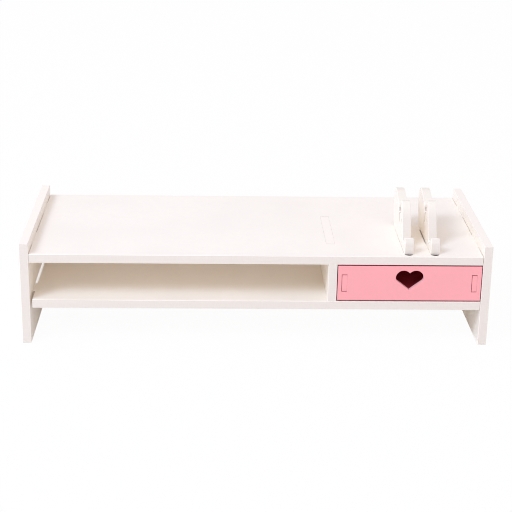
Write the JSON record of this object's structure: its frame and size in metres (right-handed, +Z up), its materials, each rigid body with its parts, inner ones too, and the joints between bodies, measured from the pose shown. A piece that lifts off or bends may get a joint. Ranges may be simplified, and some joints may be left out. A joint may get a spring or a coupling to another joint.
{
  "type": "monitor stand with drawer",
  "caption": "Low desk riser for a monitor: white boards, an open bay, a pink drawer with a heart-shaped finger hole, and plug-in rests for a phone.",
  "frame": {"origin": "on the desk, under the middle of the stand's footprint", "axes": "+X to the right along the stand's width, +Y towards its back, +Z up; the drawer opens along -Y"},
  "size_m": [0.48, 0.2, 0.1415],
  "materials": {
    "white_board": "satin film on foamed board, cut edges matte",
    "pink_board": "satin film on foamed board, cut edges matte"
  },
  "bodies": {
    "stand": {"side_panel_left": "white_board", "side_panel_right": "white_board", "top_board": "white_board", "lower_shelf": "white_board", "divider": "white_board", "drawer_bay_back": "white_board", "phone_rest_left": "white_board", "phone_rest_right": "white_board"},
    "drawer": {"drawer_front": "pink_board", "drawer_back": "pink_board", "drawer_side_left": "pink_board", "drawer_side_right": "pink_board", "drawer_bottom": "pink_board"}
  },
  "joints": [
    {"name": "drawer_slide", "type": "slide", "parent": "stand", "child": "drawer", "axis": [0, -1, 0], "range_m": [0, 0.15]}
  ]
}
